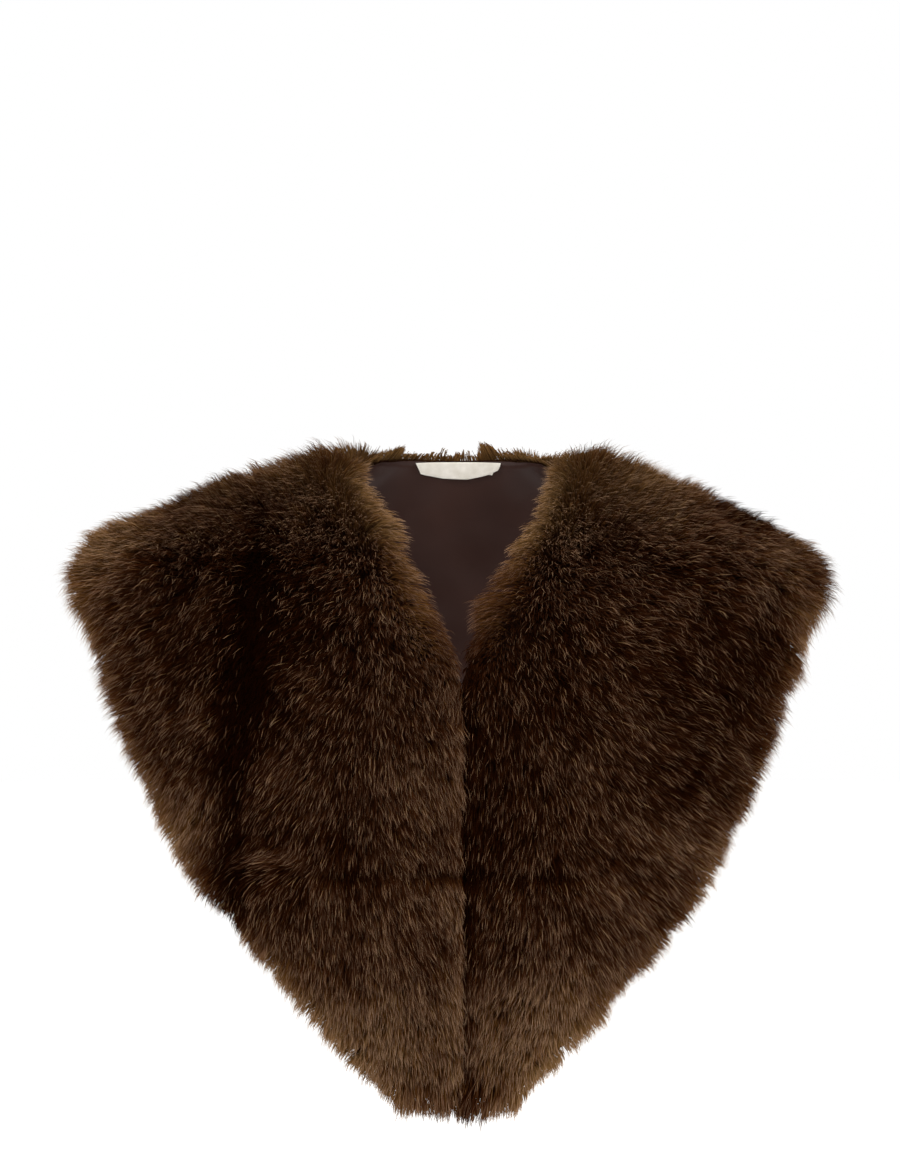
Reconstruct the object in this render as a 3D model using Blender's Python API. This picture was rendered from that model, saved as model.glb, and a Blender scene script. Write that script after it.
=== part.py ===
"""Faux-fur neck warmer, kept in the form it has when it is worn.

Metres, Z up, the front faces -Y. The origin is the middle of the wearer's neck, level with the
back of the neck edge.

The garment is one strip that runs from the left tip, over the left shoulder, round the back of
the neck, over the right shoulder and down to the right tip. SECTIONS gives lines across the
strip for one side. A smooth surface through them, the cloth, is what every piece is made from:
the fur stands out from it, and the lining and the label lie inside it.
Two numbers place a point on the cloth: across, from 0 on the neck edge to 1 on the hem, and
along, from -1 at the left tip through 0 at the centre back to 1 at the right tip.
"""
from collections import namedtuple

import bpy
import numpy as np

SEAM_GAP = 0.0003
FUR_LOFT = 0.020
EDGE_LIFT = 0.007
LEAST_PILE = 0.001
EDGE_ROUND = 0.026
UNDER_ROUND = 0.012
SEAM_ROUND = 0.014
CLOTH_SEAM_SHARE = 0.52
BACK_SEAM_SHARE = 0.80
LINING_THICK = 0.0012
LINING_INSET_LINES = 2
LABEL_THICK = 0.0008
LABEL_WIDTH = 0.058
LABEL_FOOT_SHARE = 0.90
LABEL_HEIGHT = 0.0125
LABEL_END_HEIGHT = 0.0075
LABEL_DROP = 0.0015

LINES_ACROSS = 24
LINES_TO_SEAM = 12
LINES_TO_BACK = 36
EDGE_CROWDING = 0.75
TIP_CROWDING = 1.25
MEASURING_POINTS = 120
BACK_REACH = 0.3
LABEL_CELLS = (14, 4)

# How far each side spreads, as a share of the sections' own x: the left side lies wider.
SPREAD = {-1: 1.035, 1: 0.965}
# How far a fold of the fur presses the cloth under it in, as a share of the fold's depth.
FOLD_THROUGH = 0.4
# A front fold reaches back to this y, and a back fold forward to the other.
FRONT_ENDS = 0.02
BACK_STARTS = 0.04

# Sections of one side, from the tip to the centre back. Each gives four points of the cloth,
# evenly spaced from the neck edge to the hem, on the side where x is positive.
Section = namedtuple("Section", "name inner upper lower outer")
SECTIONS = (
    Section("tip", (0.0003, -0.108, -0.427), (0.010, -0.109, -0.4275),
            (0.020, -0.108, -0.426), (0.030, -0.107, -0.422)),
    Section("point", (0.0003, -0.113, -0.374), (0.024, -0.113, -0.375),
            (0.050, -0.109, -0.375), (0.076, -0.102, -0.375)),
    Section("lower front", (0.0003, -0.116, -0.322), (0.038, -0.115, -0.323),
            (0.080, -0.108, -0.324), (0.119, -0.093, -0.324)),
    Section("cross seam", (0.0003, -0.118, -0.274), (0.052, -0.117, -0.275),
            (0.108, -0.106, -0.276), (0.161, -0.082, -0.276)),
    Section("ribs", (0.0003, -0.117, -0.212), (0.062, -0.116, -0.214),
            (0.127, -0.101, -0.218), (0.190, -0.066, -0.222)),
    Section("chest", (0.0003, -0.112, -0.154), (0.075, -0.111, -0.156),
            (0.148, -0.088, -0.160), (0.214, -0.041, -0.165)),
    Section("neckline", (0.019, -0.096, -0.084), (0.096, -0.092, -0.090),
            (0.170, -0.068, -0.099), (0.225, -0.031, -0.130)),
    Section("collarbone", (0.045, -0.055, -0.036), (0.118, -0.050, -0.048),
            (0.198, -0.036, -0.070), (0.230, -0.011, -0.111)),
    Section("shoulder", (0.058, -0.005, -0.009), (0.130, 0.002, -0.028),
            (0.212, 0.008, -0.060), (0.230, 0.018, -0.105)),
    Section("shoulder blade", (0.052, 0.036, 0.001), (0.116, 0.055, -0.033),
            (0.186, 0.060, -0.076), (0.215, 0.060, -0.127)),
    Section("back", (0.030, 0.055, 0.007), (0.078, 0.086, -0.046),
            (0.124, 0.105, -0.108), (0.154, 0.109, -0.170)),
    Section("centre back", (0.0, 0.061, 0.009), (0.0, 0.087, -0.055),
            (0.0, 0.108, -0.123), (0.0, 0.118, -0.192)),
)
SEAM_SECTION = [section.name for section in SECTIONS].index("cross seam")

# The largest folds. A path runs through points seen from the front: x, z and the depth there.
Fold = namedtuple("Fold", "name front width path")
FOLDS = (
    Fold("left deep fold", True, 0.013,
         ((-0.127, -0.034, 0.004), (-0.125, -0.072, 0.012), (-0.130, -0.156, 0.011),
          (-0.139, -0.213, 0.006), (-0.142, -0.285, 0.009), (-0.139, -0.308, 0.010))),
    Fold("left soft fold", True, 0.016,
         ((-0.088, -0.034, 0.002), (-0.084, -0.072, 0.005), (-0.089, -0.115, 0.002))),
    Fold("left corner step", True, 0.010,
         ((-0.250, -0.060, 0.006), (-0.236, -0.066, 0.003))),
    Fold("right shoulder hollow", True, 0.016,
         ((0.210, -0.050, 0.006), (0.199, -0.095, 0.007), (0.181, -0.135, 0.005),
          (0.168, -0.155, 0.003))),
    Fold("right hem notch", True, 0.012,
         ((0.222, -0.150, 0.008), (0.202, -0.158, 0.003))),
    Fold("right lower notch", True, 0.009,
         ((0.108, -0.339, 0.009), (0.095, -0.354, 0.007), (0.085, -0.352, 0.003))),
    Fold("back left fold", False, 0.016,
         ((-0.120, -0.060, 0.003), (-0.128, -0.110, 0.008), (-0.138, -0.170, 0.009))),
    Fold("back right fold", False, 0.016,
         ((0.100, -0.055, 0.003), (0.112, -0.110, 0.007), (0.118, -0.175, 0.009))),
)

# Slow waves in the fur's loft. Each runs at so many radians a metre along x, y and z, starts at
# its own phase, and raises the loft by up to its share.
Wave = namedtuple("Wave", "x y z phase share")
WAVES = (
    Wave(61, 0, 23, 0.6, 0.05),
    Wave(0, -31, 47, 2.1, 0.05),
    Wave(88, 0, -71, 4.0, 0.04),
)


def smooth_curve(knots, values, at):
    """Values at the places asked for, on a smooth curve through the knots that never swings past
    them: a cubic between each two knots, level at every high and low one."""
    steps = np.diff(knots)
    rises = np.diff(values, axis=0) / steps[:, None]
    before, after = rises[:-1], rises[1:]
    same_way = before * after > 0
    wide, narrow = 2 * steps[1:] + steps[:-1], steps[1:] + 2 * steps[:-1]
    total = (wide + narrow)[:, None]
    both = np.where(same_way, wide[:, None] * after + narrow[:, None] * before, 1.0)
    middle = np.where(same_way, total * before * after / both, 0.0)
    slopes = np.vstack([rises[:1], middle, rises[-1:]])
    at = np.asarray(at, dtype=float)
    cell = np.clip(np.searchsorted(knots, at, side="right") - 1, 0, len(knots) - 2)
    step = steps[cell][..., None]
    part = (at[..., None] - knots[cell][..., None]) / step
    start, end = values[cell], values[cell + 1]
    leave, arrive = slopes[cell] * step, slopes[cell + 1] * step
    return (
        (2 * part**3 - 3 * part**2 + 1) * start
        + (part**3 - 2 * part**2 + part) * leave
        + (3 * part**2 - 2 * part**3) * end
        + (part**3 - part**2) * arrive
    )


def whole_strip():
    """The sections' places along the strip, from -1 to 1, and their points, with the left side
    mirrored from the right one and each side given its own spread."""
    one_side = np.array([section[1:] for section in SECTIONS])
    right, left = one_side.copy(), one_side.copy()
    right[..., 0] *= SPREAD[1]
    left[..., 0] *= -SPREAD[-1]
    middle_line = one_side[:, 1:3].mean(axis=1)
    lengths = np.linalg.norm(np.diff(middle_line, axis=0), axis=1)
    along = 1 - np.concatenate([[0.0], np.cumsum(lengths)]) / lengths.sum()
    places = np.concatenate([-along, along[-2::-1]])
    return places, np.concatenate([left, right[-2::-1]])


PLACES, POINTS = whole_strip()
SEAM_PLACE = PLACES[-1 - SEAM_SECTION]


def flat_cloth(across, along):
    """Points of the cloth before its folds: first a smooth curve along the strip through each of
    the four rows of section points, then the cubic across through those four."""
    rows = smooth_curve(PLACES, POINTS.reshape(len(PLACES), -1), along)
    rows = rows.reshape(np.shape(along) + (4, 3))
    t = np.asarray(across)[..., None] * 3
    return (
        -(t - 1) * (t - 2) * (t - 3) / 6 * rows[..., 0, :]
        + t * (t - 2) * (t - 3) / 2 * rows[..., 1, :]
        - t * (t - 1) * (t - 3) / 2 * rows[..., 2, :]
        + t * (t - 1) * (t - 2) / 6 * rows[..., 3, :]
    )


def outward(across, along, step=0.002):
    """Unit vectors that point out of the cloth, away from the wearer."""
    low, high = np.clip(along - step, -1, 1), np.clip(along + step, -1, 1)
    run = flat_cloth(across, high) - flat_cloth(across, low)
    low, high = np.clip(across - step, 0, 1), np.clip(across + step, 0, 1)
    span = flat_cloth(high, along) - flat_cloth(low, along)
    normal = np.cross(run, span)
    return normal / np.linalg.norm(normal, axis=-1, keepdims=True)


def fold_depth(points):
    """How deep the folds are at each point: for every fold, the depth on the nearest point of
    its path, fading with distance as a bell curve of the fold's width."""
    total = np.zeros(points.shape[:-1])
    seen = points[..., [0, 2]]
    for fold in FOLDS:
        path = np.array(fold.path)
        nearest = np.full(total.shape, np.inf)
        depth = np.zeros(total.shape)
        for start, end in zip(path[:-1], path[1:]):
            way = end[:2] - start[:2]
            part = np.clip(((seen - start[:2]) @ way) / (way @ way), 0, 1)
            gap = np.linalg.norm(seen - start[:2] - part[..., None] * way, axis=-1)
            closer = gap < nearest
            depth = np.where(closer, start[2] + part * (end[2] - start[2]), depth)
            nearest = np.minimum(gap, nearest)
        depth_wise = points[..., 1]
        facing = depth_wise < FRONT_ENDS if fold.front else depth_wise > BACK_STARTS
        total += np.where(facing, depth * np.exp(-((nearest / fold.width) ** 2)), 0.0)
    return total


def cloth(across, along):
    """The cloth's points with its folds, its outward vectors, and the depth of the folds."""
    points = flat_cloth(across, along)
    normals = outward(across, along)
    folds = fold_depth(points)
    return points - normals * (folds * FOLD_THROUGH)[..., None], normals, folds


def lines_across():
    """Places across the strip, closer together near both edges, where the fur rounds off."""
    even = np.linspace(0, 1, LINES_ACROSS + 1)
    crowded = (1 - np.cos(np.pi * even)) / 2
    return EDGE_CROWDING * crowded + (1 - EDGE_CROWDING) * even


def lines_along(side, piece):
    """Places along the strip for the tip piece or the main piece of one side."""
    if piece == "tip":
        even = np.linspace(0, 1, LINES_TO_SEAM + 1)
        return side * (1 + (SEAM_PLACE - 1) * even**TIP_CROWDING)
    even = np.linspace(0, 1, LINES_TO_BACK + 1)
    return side * SEAM_PLACE * (1 - even)


def quarter_round(distance, reach):
    """The height of a quarter circle that is 0 at the edge and 1 from its reach inward."""
    left = 1 - np.clip(distance / reach, 0, 1)
    return np.sqrt(1 - left**2)


def reach_from(points, axis, from_end):
    """Distances along the grid's lines from its first or last line."""
    steps = np.linalg.norm(np.diff(points, axis=axis), axis=-1)
    zero = np.zeros_like(np.take(steps, [0], axis=axis))
    run = np.concatenate([zero, np.cumsum(steps, axis=axis)], axis=axis)
    return np.take(run, [-1], axis=axis) - run if from_end else run


def unevenness(points):
    """A slow, soft rise and fall of the fur's loft, as a share of it."""
    total = np.zeros(points.shape[:-1])
    for wave in WAVES:
        total += wave.share * np.sin(points @ np.array(wave[:3]) + wave.phase)
    return total


def new_piece(name, material, vertices, faces):
    """Adds a smooth-shaded object with the material to the scene."""
    mesh = bpy.data.meshes.new(name)
    mesh.from_pydata(vertices.tolist(), [], faces)
    mesh.materials.append(material)
    mesh.shade_smooth()
    mesh.set_sharp_from_angle(angle=np.radians(50))
    piece = bpy.data.objects.new(name, mesh)
    bpy.context.scene.collection.objects.link(piece)
    return piece


def closed_shell(outer, inner, shared):
    """Vertices and triangles of a solid between two grids of points. shared names the grid's
    borders on which both grids have the same points: first_row, last_row, first_column and
    last_column. The other borders get a wall."""
    rows, columns = outer.shape[:2]
    outer_ids = np.arange(rows * columns).reshape(rows, columns)
    inner_ids = outer_ids + rows * columns
    borders = {
        "first_row": (0, slice(None)),
        "last_row": (-1, slice(None)),
        "first_column": (slice(None), 0),
        "last_column": (slice(None), -1),
    }
    for name in shared:
        inner_ids[borders[name]] = outer_ids[borders[name]]
    faces = []
    for row in range(rows - 1):
        for column in range(columns - 1):
            for ids, turned in ((outer_ids, False), (inner_ids, True)):
                corners = (
                    ids[row, column], ids[row, column + 1],
                    ids[row + 1, column + 1], ids[row + 1, column],
                )
                for triangle in ((corners[0], corners[1], corners[2]),
                                 (corners[0], corners[2], corners[3])):
                    faces.append(triangle[::-1] if turned else triangle)
    for name, place in borders.items():
        if name in shared:
            continue
        out, back = outer_ids[place], inner_ids[place]
        if name in ("last_row", "first_column"):
            out, back = back, out
        for one in range(len(out) - 1):
            quad = (out[one], back[one], back[one + 1], out[one + 1])
            for triangle in ((quad[0], quad[1], quad[2]), (quad[0], quad[2], quad[3])):
                if len(set(triangle)) == 3:
                    faces.append(triangle)
    vertices = np.concatenate([outer.reshape(-1, 3), inner.reshape(-1, 3)])
    used = np.unique(faces)
    renumbered = np.zeros(len(vertices), dtype=int)
    renumbered[used] = np.arange(len(used))
    return vertices[used], renumbered[np.array(faces)].tolist()


def fur_piece(name, side, piece, material):
    """The tip piece or the main piece of one side, as thick as its fur. The grid's rows run
    along the strip towards the centre back, its columns from the neck edge to the hem."""
    across, along = np.meshgrid(lines_across(), lines_along(side, piece))
    points, normals, folds = cloth(across, along)
    neck_edge = reach_from(points, 1, False)
    hem = reach_from(points, 1, True)
    start = reach_from(points, 0, False)
    end = reach_from(points, 0, True)
    rounded = quarter_round(neck_edge, EDGE_ROUND) * quarter_round(hem, EDGE_ROUND)
    under = quarter_round(neck_edge, UNDER_ROUND) * quarter_round(hem, UNDER_ROUND)
    shared = ["first_column", "last_column"]
    if piece == "tip":
        rounded *= quarter_round(start, EDGE_ROUND)
        under *= quarter_round(start, UNDER_ROUND)
        shared.append("first_row")
        dip = seam_dip(end, CLOTH_SEAM_SHARE)
    else:
        dip = seam_dip(start, CLOTH_SEAM_SHARE) * seam_dip(end, BACK_SEAM_SHARE)
    loft = FUR_LOFT * (1 + unevenness(points)) * dip - folds * (1 - FOLD_THROUGH)
    loft = np.maximum(loft, EDGE_LIFT + LEAST_PILE)
    outer = points + normals * (EDGE_LIFT + (loft - EDGE_LIFT) * rounded)[..., None]
    inner = points + normals * (EDGE_LIFT * (1 - under))[..., None]
    for grid in (outer, inner):
        part_at_seams(grid, side, piece)
    if side < 0:
        outer, inner = outer[:, ::-1], inner[:, ::-1]
    vertices, faces = closed_shell(outer, inner, shared)
    return new_piece(name, material, vertices, faces)


def seam_dip(distance, share):
    """The loft's share beside a seam, which rises to 1 within SEAM_ROUND of it."""
    return share + (1 - share) * quarter_round(distance, SEAM_ROUND)


def part_at_seams(grid, side, piece):
    """Moves the rows that meet at a seam half a gap back along the strip, and keeps every point
    half a gap from the middle plane, where the two sides meet."""
    seam_row = -1 if piece == "tip" else 0
    beside = -2 if piece == "tip" else 1
    way = grid[beside] - grid[seam_row]
    grid[seam_row] += way / np.linalg.norm(way, axis=-1, keepdims=True) * SEAM_GAP / 2
    grid[..., 0] = side * np.maximum(side * grid[..., 0], SEAM_GAP / 2)


def lining_piece(material):
    """The lining, one strip from tip to tip just inside the cloth. It uses the fur pieces' own
    lines, so that the two faces keep an even gap."""
    across = lines_across()[LINING_INSET_LINES:-LINING_INSET_LINES]
    side_lines = [lines_along(1, "tip")[LINING_INSET_LINES:], lines_along(1, "main")[1:]]
    right = np.concatenate(side_lines)
    along = np.concatenate([-right, right[-2::-1]])
    across, along = np.meshgrid(across, along)
    points, normals, _ = cloth(across, along)
    outer = points - normals * SEAM_GAP
    inner = points - normals * (SEAM_GAP + LINING_THICK)
    vertices, faces = closed_shell(outer[::-1], inner[::-1], [])
    return new_piece("lining", material, vertices, faces)


def place_along(across, distance):
    """Places along the strip at distances from the centre back, measured along the cloth."""
    trial = np.linspace(0, BACK_REACH, MEASURING_POINTS)
    points = flat_cloth(np.broadcast_to(across[..., None], across.shape + trial.shape),
                        np.broadcast_to(trial, across.shape + trial.shape))
    lengths = reach_from(points, points.ndim - 2, False)
    places = [np.interp(far, line, trial)
              for far, line in zip(distance.ravel(), lengths.reshape(-1, len(trial)))]
    return np.reshape(places, across.shape)


def label_piece(material):
    """The bare label, which hangs from the neck edge of the lining at the centre back. Its lower
    edge sags between shorter ends."""
    columns, rows = LABEL_CELLS
    aside, down = np.meshgrid(np.linspace(-1, 1, columns + 1), np.linspace(0, 1, rows + 1))
    height = LABEL_END_HEIGHT + (LABEL_HEIGHT - LABEL_END_HEIGHT) * (1 - aside**2)
    top = lines_across()[LINING_INSET_LINES]
    centre_back = flat_cloth(np.linspace(0, 1, MEASURING_POINTS), np.zeros(MEASURING_POINTS))
    back_width = reach_from(centre_back, 0, False)[-1]
    across = top + (LABEL_DROP + down * height) / back_width
    reach = LABEL_WIDTH / 2 * (1 - (1 - LABEL_FOOT_SHARE) * down)
    along = np.sign(aside) * place_along(across, np.abs(aside) * reach)
    points, normals, _ = cloth(across, along)
    face = 2 * SEAM_GAP + LINING_THICK
    outer = points - normals * face
    inner = points - normals * (face + LABEL_THICK)
    vertices, faces = closed_shell(outer, inner, [])
    return new_piece("label", material, vertices, faces)


def new_material(name, colour, roughness):
    """A Principled material with a linear base colour."""
    material = bpy.data.materials.new(name)
    material.use_nodes = True
    shader = material.node_tree.nodes["Principled BSDF"]
    shader.inputs["Base Color"].default_value = (*colour, 1.0)
    shader.inputs["Roughness"].default_value = roughness
    shader.inputs["Metallic"].default_value = 0.0
    material.diffuse_color = (*colour, 1.0)
    return material


def main():
    for thing in list(bpy.data.objects):
        bpy.data.objects.remove(thing)
    fur = new_material("fur", (0.045, 0.024, 0.013), 0.85)
    satin = new_material("lining satin", (0.040, 0.020, 0.020), 0.55)
    woven = new_material("label cloth", (0.78, 0.73, 0.64), 0.80)
    for side, word in ((-1, "left"), (1, "right")):
        fur_piece(f"fur_{word}_main", side, "main", fur)
        fur_piece(f"fur_{word}_tip", side, "tip", fur)
    lining_piece(satin)
    label_piece(woven)


main()
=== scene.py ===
"""The looks of the faux-fur neck warmer: its fur, backing, satin lining and bare label.

Metres, Z up, the front faces -Y. Two numbers place a point on the cloth, as in the part's source:
across, from 0 on the neck edge to 1 on the hem, and along, from -1 at the left tip through 0 at
the centre back to 1 at the right tip. The fur is a backing with strands that start on it, rise,
lie over along the nap and gather into tufts.
"""
from collections import namedtuple

import bpy
import numpy as np
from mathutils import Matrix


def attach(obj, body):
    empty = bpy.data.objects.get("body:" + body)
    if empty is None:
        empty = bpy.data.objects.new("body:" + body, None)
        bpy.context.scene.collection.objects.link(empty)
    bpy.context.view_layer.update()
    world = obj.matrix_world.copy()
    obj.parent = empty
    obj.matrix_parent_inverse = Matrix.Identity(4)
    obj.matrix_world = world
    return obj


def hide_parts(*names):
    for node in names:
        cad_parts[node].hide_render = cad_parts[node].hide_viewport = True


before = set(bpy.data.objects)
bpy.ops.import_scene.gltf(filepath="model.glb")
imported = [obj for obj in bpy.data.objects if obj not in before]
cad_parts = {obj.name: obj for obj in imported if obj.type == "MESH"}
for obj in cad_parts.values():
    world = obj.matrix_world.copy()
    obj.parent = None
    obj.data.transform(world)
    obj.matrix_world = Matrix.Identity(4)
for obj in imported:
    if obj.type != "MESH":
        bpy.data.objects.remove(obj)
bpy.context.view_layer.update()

# The cloth's form, as in the part's source: sections of one side from the tip to the centre
# back, each with four points evenly spaced from the neck edge to the hem.
Section = namedtuple("Section", "name inner upper lower outer")
SECTIONS = (
    Section("tip", (0.0003, -0.108, -0.427), (0.01, -0.109, -0.4275),
        (0.02, -0.108, -0.426), (0.03, -0.107, -0.422)),
    Section("point", (0.0003, -0.113, -0.374), (0.024, -0.113, -0.375),
        (0.05, -0.109, -0.375), (0.076, -0.102, -0.375)),
    Section("lower front", (0.0003, -0.116, -0.322), (0.038, -0.115, -0.323),
        (0.08, -0.108, -0.324), (0.119, -0.093, -0.324)),
    Section("cross seam", (0.0003, -0.118, -0.274), (0.052, -0.117, -0.275),
        (0.108, -0.106, -0.276), (0.161, -0.082, -0.276)),
    Section("ribs", (0.0003, -0.117, -0.212), (0.062, -0.116, -0.214),
        (0.127, -0.101, -0.218), (0.19, -0.066, -0.222)),
    Section("chest", (0.0003, -0.112, -0.154), (0.075, -0.111, -0.156),
        (0.148, -0.088, -0.16), (0.214, -0.041, -0.165)),
    Section("neckline", (0.019, -0.096, -0.084), (0.096, -0.092, -0.09),
        (0.17, -0.068, -0.099), (0.225, -0.031, -0.13)),
    Section("collarbone", (0.045, -0.055, -0.036), (0.118, -0.05, -0.048),
        (0.198, -0.036, -0.07), (0.23, -0.011, -0.111)),
    Section("shoulder", (0.058, -0.005, -0.009), (0.13, 0.002, -0.028),
        (0.212, 0.008, -0.06), (0.23, 0.018, -0.105)),
    Section("shoulder blade", (0.052, 0.036, 0.001), (0.116, 0.055, -0.033),
        (0.186, 0.06, -0.076), (0.215, 0.06, -0.127)),
    Section("back", (0.03, 0.055, 0.007), (0.078, 0.086, -0.046),
        (0.124, 0.105, -0.108), (0.154, 0.109, -0.17)),
    Section("centre back", (0.0, 0.061, 0.009), (0.0, 0.087, -0.055),
        (0.0, 0.108, -0.123), (0.0, 0.118, -0.192)),
)
SECTION_NAMES = [section.name for section in SECTIONS]
# Each side's spread, how much of a fold is in the cloth, and where in Y the front's tables end and
# the back's start.
SPREAD = {-1: 1.035, 1: 0.965}
FOLD_THROUGH = 0.4
FRONT_ENDS = 0.02
BACK_STARTS = 0.04

# The folds: x, z and the depth at each point of a path, seen from the front.
Fold = namedtuple("Fold", "name front width path")
FOLDS = (
    Fold("left deep fold", True, 0.013,
         ((-0.127, -0.034, 0.004), (-0.125, -0.072, 0.012), (-0.13, -0.156, 0.011),
          (-0.139, -0.213, 0.006), (-0.142, -0.285, 0.009), (-0.139, -0.308, 0.01))),
    Fold("left soft fold", True, 0.016,
         ((-0.088, -0.034, 0.002), (-0.084, -0.072, 0.005), (-0.089, -0.115, 0.002))),
    Fold("left corner step", True, 0.010,
         ((-0.247, -0.066, 0.005), (-0.236, -0.07, 0.003))),
    Fold("right shoulder hollow", True, 0.016,
         ((0.203, -0.062, 0.003), (0.197, -0.095, 0.007), (0.181, -0.135, 0.005),
          (0.168, -0.155, 0.003))),
    Fold("right hem notch", True, 0.008,
         ((0.222, -0.156, 0.005), (0.202, -0.163, 0.002))),
    Fold("right lower notch", True, 0.006,
         ((0.106, -0.33, 0.01), (0.096, -0.341, 0.01), (0.088, -0.343, 0.004))),
    Fold("back left fold", False, 0.016,
         ((-0.12, -0.06, 0.003), (-0.128, -0.11, 0.008), (-0.138, -0.17, 0.009))),
    Fold("back right fold", False, 0.016,
         ((0.1, -0.055, 0.003), (0.112, -0.11, 0.007), (0.118, -0.175, 0.009))),
)

# The backing's gap to the lining, and the thickness of each.
BACKING_OFF = 0.0004
BACKING_THICK = 0.0012
LINING_THICK = 0.001

# A kind of strand: its rise, run along the nap, width, pull into tufts, curl and bends, how much
# lighter it is, and is at the neck's rim, how much strands differ in that, and its band of the map.
Strand = namedtuple("Strand", "rise run width tufting curl bends lighter at_rim varied map_low map_high")
UNDERFUR = Strand(0.0185, 0.0055, 0.00062, 0.16, 0.0008, 1, -0.03, -0.04, 0.06, 0.02, 0.48)
GUARD_HAIR = Strand(0.0210, 0.0085, 0.00033, 0.26, 0.0020, 2, -0.05, -0.22, 0.20, 0.52, 0.98)

# Where the fur is combed off its usual way, seen from the front: x, z, how far that reaches
# across and up, and the push in x and z.
Comb = namedtuple("Comb", "name x z wide high push_x push_z")
COMBS = (
    Comb("left, near the middle", -0.03, -0.19, 0.03, 0.08, 0.55, 0),
    Comb("left, above the tip", -0.045, -0.32, 0.06, 0.08, 0.5, 0),
    Comb("left, beside the fold", -0.095, -0.165, 0.03, 0.05, -0.7, 0),
    Comb("left, outer", -0.22, -0.11, 0.035, 0.06, -0.8, 0),
    Comb("left corner", -0.23, -0.06, 0.03, 0.025, -0.75, 0.7),
    Comb("right, off the parting", 0.125, -0.165, 0.055, 0.07, 1.05, 0),
    Comb("right, above", 0.13, -0.085, 0.06, 0.05, 0.45, 0),
    Comb("right, lower", 0.12, -0.27, 0.045, 0.055, 0.7, 0),
    Comb("right, inner", 0.035, -0.23, 0.03, 0.07, -0.35, 0),
    Comb("by the tip", 0.03, -0.35, 0.03, 0.06, -0.6, 0),
    Comb("left tuft", -0.118, -0.258, 0.026, 0.012, -1.3, 0.9),
)

# A place seen from the front: x, z, how far it reaches across and up, and how much it changes.
Place = namedtuple("Place", "name x z wide high amount")


def named_places(*rows):
    """The rows of a table with their fields named."""
    return [Place(*row) for row in rows]


# Where the pile stands higher or lower than elsewhere, by what share.
LOFTS = named_places(
    ("left corner", -0.224, -0.068, 0.024, 0.028, 0.38),
    ("right corner", 0.212, -0.077, 0.024, 0.022, 0.26),
    ("right shoulder, outer", 0.12, -0.006, 0.022, 0.016, -0.32),
    ("right shoulder, corner", 0.18, -0.025, 0.018, 0.016, 0.28),
    ("right rim, foot", 0.031, -0.094, 0.015, 0.02, 0.85),
    ("left rim, upper", -0.052, -0.048, 0.014, 0.012, 0.62),
    ("right rim, top", 0.062, -0.008, 0.012, 0.01, -0.4),
    ("left shoulder, outer", -0.155, -0.034, 0.024, 0.02, 0.18),
    ("left shoulder, neck", -0.065, -0.012, 0.03, 0.02, 0.22),
    ("right shoulder, neck", 0.075, -0.012, 0.03, 0.02, 0.18),
    ("right hem, middle", 0.212, -0.121, 0.022, 0.016, 0.68),
    ("right hem, low", 0.15, -0.256, 0.022, 0.02, -0.25),
    ("left hem", -0.205, -0.165, 0.03, 0.05, 0.15),
    ("right low hem", 0.068, -0.375, 0.03, 0.03, -0.35),
    ("tip's left corner", -0.042, -0.396, 0.014, 0.012, -0.4),
    ("left of the tip", -0.018, -0.408, 0.012, 0.01, -0.1),
    ("tip's right corner", 0.041, -0.394, 0.017, 0.016, -0.62),
    ("right of the tip", 0.014, -0.408, 0.014, 0.01, 0.5),
)

# Where the fur is lighter or darker than the rest, and by how much: painted light and shade, darker in
# folds, hollows and shaded corners, lighter where edges, corners and tufts catch the light.
PAINTED_LIGHT_AND_SHADE = named_places(
    ("left outer dark", -0.165, -0.115, 0.04, 0.055, -0.12),
    ("left corner gold", -0.232, -0.07, 0.028, 0.032, 0.44),
    ("left shoulder", -0.11, -0.028, 0.06, 0.018, 0.16),
    ("left fold, top", -0.123, -0.106, 0.014, 0.036, -0.3),
    ("left fold, middle", -0.128, -0.15, 0.018, 0.04, -0.22),
    ("left fold, foot", -0.144, -0.235, 0.016, 0.05, -0.26),
    ("left of the neck", -0.09, -0.125, 0.032, 0.045, -0.12),
    ("left neck rim", -0.045, -0.08, 0.03, 0.06, 0.12),
    ("left rim, upper", -0.072, -0.046, 0.018, 0.02, 0.12),
    ("right neck rim", 0.055, -0.04, 0.022, 0.045, 0.22),
    ("right hem, middle", 0.186, -0.142, 0.026, 0.034, 0.08),
    ("right shoulder", 0.118, -0.028, 0.05, 0.022, 0.3),
    ("right lower dark", 0.15, -0.155, 0.045, 0.045, -0.14),
    ("right of the middle", 0.045, -0.17, 0.03, 0.06, -0.1),
    ("right lower hem", 0.088, -0.325, 0.05, 0.035, 0.14),
    ("under the seam", -0.036, -0.29, 0.035, 0.018, 0.13),
    ("left by the meeting", -0.025, -0.215, 0.025, 0.05, 0.17),
    ("left of the foot", -0.02, -0.13, 0.03, 0.024, -0.05),
    ("right of the foot", 0.03, -0.125, 0.028, 0.024, -0.04),
    ("left hem light", -0.2, -0.165, 0.03, 0.03, 0.1),
    ("left light tuft", -0.115, -0.255, 0.02, 0.01, 0.2),
    ("left lower light", -0.052, -0.368, 0.054, 0.04, 0.31),
    ("right corner dark", 0.19, -0.036, 0.036, 0.02, -0.6),
    ("right edge light", 0.206, -0.088, 0.022, 0.032, 0.36),
    ("right of the parting", 0.014, -0.225, 0.02, 0.045, -0.14),
    ("lower right light", 0.045, -0.37, 0.04, 0.04, 0.3),
    ("left hem, low", -0.162, -0.238, 0.028, 0.03, 0.38),
    ("left hem, near the tip", -0.108, -0.312, 0.03, 0.026, 0.16),
    ("right hem, low", 0.132, -0.252, 0.032, 0.026, 0.2),
    ("middle right", 0.07, -0.205, 0.03, 0.04, 0.1),
    ("right, over the low hem", 0.105, -0.218, 0.04, 0.016, -0.1),
    ("left, over the low hem", -0.122, -0.248, 0.022, 0.024, -0.1),
)


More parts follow.
